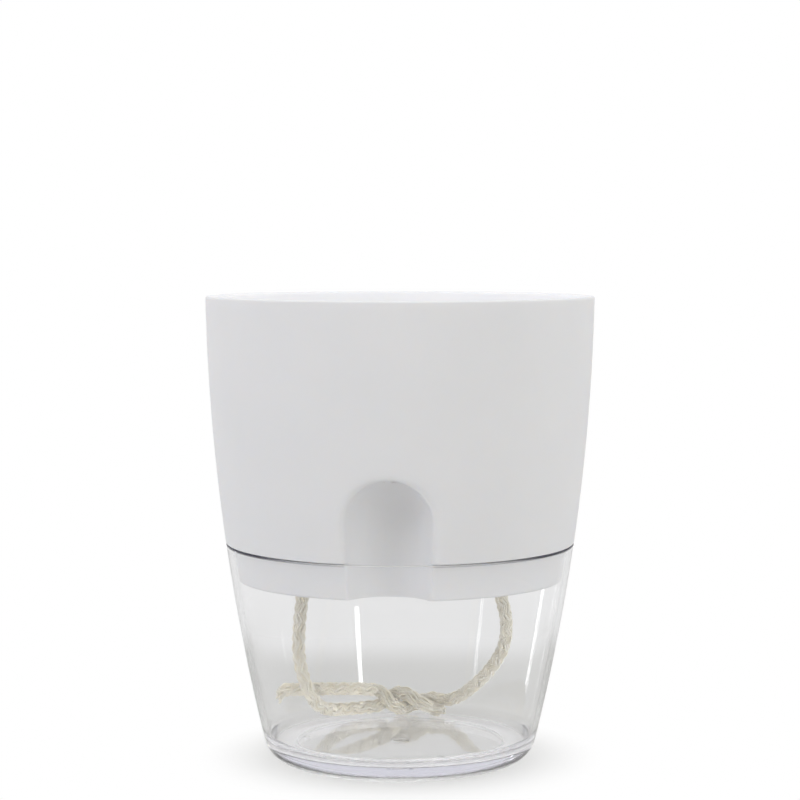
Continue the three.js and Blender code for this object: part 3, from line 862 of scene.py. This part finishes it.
def smooth_route(points):
    """Centripetal Catmull-Rom curve through points, as close points in metres."""
    given = np.array(points, float) * MM
    given = np.vstack([2 * given[0] - given[1], given, 2 * given[-1] - given[-2]])
    made = []
    for a, b, c, d in zip(given, given[1:], given[2:], given[3:]):
        before = math.sqrt(np.linalg.norm(b - a))
        here = math.sqrt(np.linalg.norm(c - b))
        after = math.sqrt(np.linalg.norm(d - c))
        leave = here * ((b - a) / before - (c - a) / (before + here) + (c - b) / here)
        arrive = here * ((c - b) / here - (d - b) / (here + after) + (d - c) / after)
        for i in range(ROUTE_STEPS):
            s = i / ROUTE_STEPS
            bend = (3 * (c - b) - 2 * leave - arrive) * s ** 2
            made.append(b + leave * s + bend + (2 * (b - c) + leave + arrive) * s ** 3)
    made.append(given[-2])
    return np.array(made)


def twist_points(wick, start):
    """One of the two cord ends through the twist, from its left end to its right, in millimetres."""
    left = Vector(TWIST_LEFT)
    right = Vector(TWIST_RIGHT)
    along = (right - left).normalized()
    front = (Vector((0, -1, 0)) + along * along.y).normalized()
    up = front.cross(along)
    radius = (wick.diameter / MM + TWIST_GAP) / 2
    points = []
    for i in range(TWIST_STEPS + 1):
        share = i / TWIST_STEPS
        angle = start - TWIST_ANGLE * share * (TWIST_LEAD - (TWIST_LEAD - 1) * share)
        swing = front * math.cos(angle) + up * math.sin(angle)
        points.append(tuple(left.lerp(right, share) + swing * radius))
    return points


def twist_girth(line):
    """How full the cord is at each point of its line, as a share of its diameter: fuller in the twist."""
    left = np.array(TWIST_LEFT) * MM
    along = np.array(TWIST_RIGHT) * MM - left
    share = (line - left) @ along / (along @ along)
    off = np.linalg.norm(line - left - np.outer(share, along), axis=1)
    near = np.exp(-((share - 0.5) / SWELL_REACH) ** 2) * (off < np.linalg.norm(along) * SWELL_ROOM)
    return CORD_FULL + TWIST_SWELL * near


def wick_routes(wick, pot, form):
    """The points of the cord's three stretches, in millimetres, each from the hole that it leaves."""
    floor_low = (form.seam_height - pot.spigot_depth) / MM
    floor_top = floor_low + pot.floor / MM
    middle = (floor_low + floor_top) / 2
    reach = pot.wick_span / MM / 2
    back = pot.wick_setback / MM
    above = middle + CORD_JOIN / 2
    below = middle - CORD_JOIN / 2
    bridge = [(x, y, z + floor_top) for x, y, z in BRIDGE_ROUTE]
    return {
        "wick_bridge": [(-reach, back, above), *bridge, (reach, back, above)],
        "wick_left_leg": [(-reach, back, below), *LEFT_ROUTE, *twist_points(wick, -QUARTER), LEFT_END],
        "wick_right_leg": [
            (reach, back, below), *RIGHT_ROUTE, *twist_points(wick, QUARTER)[::-1], *RIGHT_TAIL,
        ],
    }


class CACHEPOT_OT_wick(bpy.types.Operator):
    """Make the three stretches of the braided cotton wick"""

    bl_idname = "cachepot.make_wick"
    bl_label = "Make the wick"

    def execute(self, context):
        scene = context.scene
        wick = scene.cachepot_wick
        tree = braid_tree()
        cotton = braided_cotton(wick)
        routes = wick_routes(wick, scene.cachepot_pot, scene.cachepot_form)
        ends = {  # what the far end is, how much of it has come undone, and how its yarns spread and droop
            "wick_bridge": ("object", 0.1 * MM, 1.0, 0.0),
            "wick_left_leg": ("bare", wick.end_fray, 1.15, 0.8 * MM),
            "wick_right_leg": ("bare", wick.tail_fray, 1.3, 2.8 * MM),
        }
        for order, (node, points) in enumerate(routes.items(), 1):
            far_end, fray, spread, droop = ends[node]
            line = smooth_route(points)
            path = bpy.data.meshes.new(node + "_line")
            path.from_pydata(line.tolist(), [(i, i + 1) for i in range(len(line) - 1)], [])
            girth = path.attributes.new("girth", "FLOAT", "POINT")
            girth.data.foreach_set("value", twist_girth(line))
            piece = run_tree(path, tree, wick, {
                "Yarn Count": 2 * wick.strands * wick.yarns, "Step": BRAID_STEP, "Fray": fray,
                "Spread": spread, "Droop": droop, "Seed": SEED_STEP * order, "Material": cotton,
            }, node + "_braid")
            place(piece, "pot", node)
        return {"FINISHED"}


class CACHEPOT_OT_pot(bpy.types.Operator):
    """Make the white pot with its scoop, spigot and pierced floor"""

    bl_idname = "cachepot.make_pot"
    bl_label = "Make the pot"

    def execute(self, context):
        pot = context.scene.cachepot_pot
        form = context.scene.cachepot_form
        levels = pot_levels(pot, form, context.scene.cachepot_reservoir.wall)
        shell = loft([pot_ring(pot, form, *level) for level in levels])
        floor_mid = form.seam_height - pot.spigot_depth + pot.floor / 2
        hole = pot.wick_span / 2
        piece = run_tree(shell, floor_holes_tree(), pot, {
            "Wick Left": (-hole, pot.wick_setback, floor_mid),
            "Wick Right": (hole, pot.wick_setback, floor_mid),
            "Floor Height": floor_mid, "Cut Depth": CUT_FLOORS * pot.floor, "Material": moulded_white(pot),
        }, "pot_moulding")
        smooth_moulding(piece)
        place(piece, "pot", "pot")
        return {"FINISHED"}


def underside_tree():
    """Node tree that sets a ring of round pips under a floor."""
    tree, value = new_tree(
        "underside_pips", Int=("Pip Count",),
        Float=("Pip Radius", "Pip Height", "Pip Circle", "Pip Turn", "Foot Height", "Root"),
    )
    ring = ring_points(
        tree, value["Pip Count"], value["Pip Circle"], value["Foot Height"], value["Pip Turn"]
    )
    tall = add_node(tree, "ShaderNodeMath", {0: value["Pip Height"], 1: value["Root"]}, operation="ADD")
    foot = add_node(tree, "ShaderNodeMath", {0: value["Pip Radius"], 1: PIP_TAPER}, operation="MULTIPLY")
    pip = add_node(tree, "GeometryNodeMeshCone", {
        "Vertices": HOLE_SEGMENTS, "Radius Top": value["Pip Radius"], "Radius Bottom": foot, "Depth": tall,
    })
    down = add_node(tree, "ShaderNodeMath", {0: value["Pip Height"], 1: -1.0}, operation="MULTIPLY")
    drop = add_node(tree, "ShaderNodeCombineXYZ", {"Z": down})
    hung = add_node(tree, "GeometryNodeTransform", {"Geometry": pip, "Translation": drop})
    pips = add_node(tree, "GeometryNodeInstanceOnPoints", {"Points": ring, "Instance": hung})
    whole = add_node(tree, "GeometryNodeRealizeInstances", {"Geometry": pips})
    joined = add_node(tree, "GeometryNodeMeshBoolean", {
        1: [value["Geometry"], whole],
    }, operation="UNION", solver="MANIFOLD")
    return close_tree(tree, joined, value)


def arc(centre, radius, first, last, steps=ROUND_STEPS):
    """Points round part of a circle in the profile's plane."""
    angles = [first + (last - first) * i / steps for i in range(steps + 1)]
    return [(centre[0] + radius * math.cos(a), centre[1] + radius * math.sin(a)) for a in angles]


def reservoir_profile(sizes, form):
    """Section of the reservoir from the middle of its underside, round heel and rim, to its floor."""
    rim = form.seam_height - sizes.seat_gap
    floor_top = sizes.foot_height + sizes.floor
    lean = wall_lean(form, form.heel_height)
    heel = form.heel_height / (1 - math.sin(lean))
    heel_centre = (form.heel_radius - heel * math.cos(lean), heel)
    foot_inside = heel_centre[0] - sizes.foot_width
    inner_lean = wall_lean(form, floor_top + sizes.inner_round)
    inner_top = floor_top + sizes.inner_round * (1 - math.sin(inner_lean))
    inner_x = wall_radius(form, inner_top) - sizes.wall - sizes.inner_round * math.cos(inner_lean)
    inner_centre = (inner_x, floor_top + sizes.inner_round)
    small = sizes.small_round
    gate_low = sizes.foot_height - sizes.gate_height
    corner_x = foot_inside - sizes.foot_draft - small
    edge = sizes.rim_edge
    top = wall_radius(form, rim)
    inside = top - sizes.wall

    points = [(POLE, gate_low)]
    points += arc((sizes.gate_radius - small, gate_low + small), small, -QUARTER, 0)
    points.append((sizes.gate_radius, sizes.foot_height))
    points += [(share * corner_x, sizes.foot_height) for share in UNDERSIDE_SHARES]
    points += arc((corner_x, sizes.foot_height - small), small, QUARTER, 0)
    points += arc((foot_inside + small, small), small, 2 * QUARTER, 3 * QUARTER)
    points += arc(heel_centre, heel, -QUARTER, -lean, HEEL_STEPS)
    outer_heights = np.linspace(form.heel_height, rim - edge, WALL_STEPS)[1:]
    points += [(wall_radius(form, z), z) for z in outer_heights]
    points += arc((top - edge, rim - edge), edge, 0, QUARTER)[1:]
    points += arc((inside + small, rim - small), small, QUARTER, 2 * QUARTER)
    inner_heights = np.linspace(rim - small, inner_top, WALL_STEPS)[1:]
    points += [(wall_radius(form, z) - sizes.wall, z) for z in inner_heights]
    points += arc(inner_centre, sizes.inner_round, -inner_lean, -QUARTER, HEEL_STEPS)[1:]
    points += [(share * inner_x, floor_top) for share in np.linspace(1, 0, FLOOR_RINGS, endpoint=False)[1:]]
    points.append((POLE, floor_top))
    return points


class CACHEPOT_OT_reservoir(bpy.types.Operator):
    """Make the clear reservoir with its foot ring, heel, rim and the pips under its floor"""

    bl_idname = "cachepot.make_reservoir"
    bl_label = "Make the reservoir"

    def execute(self, context):
        sizes = context.scene.cachepot_reservoir
        form = context.scene.cachepot_form
        turns = [TAU * i / RESERVOIR_SEGMENTS for i in range(RESERVOIR_SEGMENTS)]
        rings = []
        for radius, z in reservoir_profile(sizes, form):
            rings.append([(radius * math.cos(a), radius * math.sin(a), float(z)) for a in turns])
        piece = run_tree(loft(rings), underside_tree(), sizes, {
            "Root": sizes.floor / 2, "Material": clear_polystyrene(sizes, form, context.scene.cachepot_pot),
        }, "reservoir_moulding")
        smooth_moulding(piece)
        place(piece, "reservoir", "reservoir")
        return {"FINISHED"}


def ray_kinds(tree):
    """Whether a ray comes straight from the camera, and whether the clear plastic bent or mirrored it."""
    path = add_node(tree, "ShaderNodeLightPath")
    bent = add_node(tree, "ShaderNodeMath", {
        0: path.outputs["Is Glossy Ray"], 1: path.outputs["Is Transmission Ray"],
    }, operation="MAXIMUM")
    return path.outputs["Is Camera Ray"], bent


def pale_floor(stage):
    """Matt white card: painted shade makes it a little greyer further off, for the pot's shadow and the room's
    shade on the table behind, and even white where only the background is seen.
    """
    material, tree = new_material("matt_white_card")
    spot = add_node(tree, "ShaderNodeTexCoord").outputs["Object"]
    away = add_node(tree, "ShaderNodeVectorMath", {0: spot}, operation="LENGTH")
    near, far, painted_shade_reach = [
        add_node(tree, "ShaderNodeMapRange", {
            "Value": away, "From Min": start, "From Max": end,
        }, interpolation_type="SMOOTHSTEP") for start, end in FLOOR_FADES
    ]
    # Painted shade: the card turns greyer further off, for the pot's shadow and the room's shade behind it
    tone = add_node(tree, "ShaderNodeMix", {
        "Factor": painted_shade_reach, "A": stage.floor_pale, "B": stage.floor_painted_shade,
    }, data_type="RGBA")
    straight, bent = ray_kinds(tree)
    plain = add_node(tree, "ShaderNodeMath", {0: near, 1: straight}, operation="MULTIPLY")
    white = add_node(tree, "ShaderNodeMath", {0: far, 1: bent, 2: plain}, operation="MULTIPLY_ADD")
    card = add_node(tree, "ShaderNodeBsdfPrincipled", {
        "Base Color": tone, "Roughness": 0.8, "Specular IOR Level": 0.2,
    })
    dimmed = add_node(tree, "ShaderNodeMath", {
        0: bent, 1: stage.backdrop - 1, 2: 1.0,
    }, operation="MULTIPLY_ADD")
    glow = add_node(tree, "ShaderNodeEmission", {"Color": (1, 1, 1, 1), "Strength": dimmed})
    mixed = add_node(tree, "ShaderNodeMixShader", {0: white, 1: card, 2: glow})
    add_node(tree, "ShaderNodeOutputMaterial", {"Surface": mixed})
    return material


def studio_world(stage):
    """Even white light from all round, dimmer from the camera's side, and a white background."""
    world = bpy.data.worlds.new("studio")
    bpy.context.scene.world = world
    world.use_nodes = True
    tree = world.node_tree
    tree.nodes.clear()
    sight = add_node(tree, "ShaderNodeTexCoord").outputs["Generated"]
    to_back = add_node(tree, "ShaderNodeSeparateXYZ", {0: sight}).outputs["Y"]
    light, seen = [
        add_node(tree, "ShaderNodeMapRange", {
            "Value": to_back, "From Min": start, "From Max": end, "To Min": in_front, "To Max": behind,
        }, interpolation_type="SMOOTHSTEP") for (start, end), in_front, behind in (
            (FRONT_LIGHT, stage.front, stage.sky), (ROOM_SEEN, stage.room, stage.backdrop),
        )
    ]
    straight, bent = ray_kinds(tree)
    for_plastic = add_node(tree, "ShaderNodeMix", {"Factor": bent, "A": light, "B": seen}, data_type="FLOAT")
    strength = add_node(tree, "ShaderNodeMix", {
        "Factor": straight, "A": for_plastic, "B": 1.0,
    }, data_type="FLOAT")
    white = add_node(tree, "ShaderNodeBackground", {"Color": (1, 1, 1, 1), "Strength": strength})
    add_node(tree, "ShaderNodeOutputWorld", {"Surface": white})


def add_lamp(stage, name, strength, share, tone, size, bearing, elevation, distance, aim, spread):
    """A soft box or a tube, aimed at a point. The bearing is taken from the front towards the right.
    The clear plastic shows only the tubes, as bright streaks, and they light nothing else."""
    data = bpy.data.lights.new(name, "AREA")
    data.shape = "RECTANGLE"
    data.size, data.size_y = size
    data.energy = share * getattr(stage, strength)
    data.color = getattr(stage, tone)[:3]
    data.spread = math.radians(spread)
    around = math.radians(bearing)
    up = math.radians(elevation)
    flat = distance * math.cos(up)
    spot = Vector((flat * math.sin(around), -flat * math.cos(around), distance * math.sin(up)))
    lamp = bpy.data.objects.new(name, data)
    lamp.location = Vector(aim) + spot
    lamp.rotation_euler = spot.to_track_quat("Z", "Y").to_euler()
    is_tube = strength == "strip"
    lamp.visible_camera = False
    lamp.visible_glossy = False
    lamp.visible_diffuse = not is_tube
    lamp.visible_transmission = is_tube
    bpy.context.collection.objects.link(lamp)


class CACHEPOT_OT_stage(bpy.types.Operator):
    """Set up the camera, the floor and the light"""

    bl_idname = "cachepot.make_stage"
    bl_label = "Set the stage"

    def execute(self, context):
        scene = context.scene
        stage = scene.cachepot_stage
        scene.view_settings.view_transform = "Standard"
        scene.cycles.max_bounces = LIGHT_BOUNCES
        scene.cycles.transmission_bounces = LIGHT_BOUNCES
        data = bpy.data.cameras.new("camera")
        data.lens = stage.lens
        camera = bpy.data.objects.new("camera", data)
        camera.location = (
            stage.distance * math.sin(stage.azimuth),
            -stage.distance * math.cos(stage.azimuth),
            stage.camera_height,
        )
        camera.rotation_euler = (QUARTER - stage.pitch, 0, stage.azimuth)
        context.collection.objects.link(camera)
        scene.camera = camera

        shape = bmesh.new()
        bmesh.ops.create_circle(shape, cap_ends=True, segments=FLOOR_SEGMENTS, radius=stage.floor_radius)
        bmesh.ops.translate(shape, vec=(0, 0, -FLOOR_DROP), verts=shape.verts)
        card = bpy.data.meshes.new("floor")
        shape.to_mesh(card)
        shape.free()
        card.materials.append(pale_floor(stage))
        floor = bpy.data.objects.new("floor", card)
        context.collection.objects.link(floor)

        studio_world(stage)
        for lamp in LAMPS:
            add_lamp(stage, *lamp)
        return {"FINISHED"}


class CACHEPOT_PT_panel(bpy.types.Panel):
    """Sizes, finishes and steps of the cachepot"""

    bl_idname = "CACHEPOT_PT_panel"
    bl_label = "Self-watering cachepot"
    bl_space_type = "VIEW_3D"
    bl_region_type = "UI"
    bl_category = "Cachepot"

    def draw(self, context):
        for operator, group in STEPS:
            box = self.layout.box()
            box.operator(operator.bl_idname)
            sizes = getattr(context.scene, group)
            for name in sizes.__annotations__:
                box.prop(sizes, name)
        box = self.layout.box()
        for name in CachepotForm.__annotations__:
            box.prop(context.scene.cachepot_form, name)


STEPS = (
    (CACHEPOT_OT_stage, "cachepot_stage"),
    (CACHEPOT_OT_wick, "cachepot_wick"),
    (CACHEPOT_OT_pot, "cachepot_pot"),
    (CACHEPOT_OT_reservoir, "cachepot_reservoir"),
)
GROUPS = {
    "cachepot_form": CachepotForm,
    "cachepot_pot": CachepotPot,
    "cachepot_reservoir": CachepotReservoir,
    "cachepot_wick": CachepotWick,
    "cachepot_stage": CachepotStage,
}
CLASSES = (*GROUPS.values(), *(operator for operator, _ in STEPS), CACHEPOT_PT_panel)


def register():
    """Make the settings, the operators and the panel known to Blender."""
    for cls in CLASSES:
        bpy.utils.register_class(cls)
    for name, group in GROUPS.items():
        setattr(bpy.types.Scene, name, bpy.props.PointerProperty(type=group))


def unregister():
    """Take them out again."""
    for name in GROUPS:
        delattr(bpy.types.Scene, name)
    for cls in reversed(CLASSES):
        bpy.utils.unregister_class(cls)


def main():
    """Make the stage and all pieces."""
    register()
    bpy.ops.cachepot.make_stage()
    bpy.ops.cachepot.make_wick()
    bpy.ops.cachepot.make_pot()
    bpy.ops.cachepot.make_reservoir()


if __name__ == "__main__":
    main()
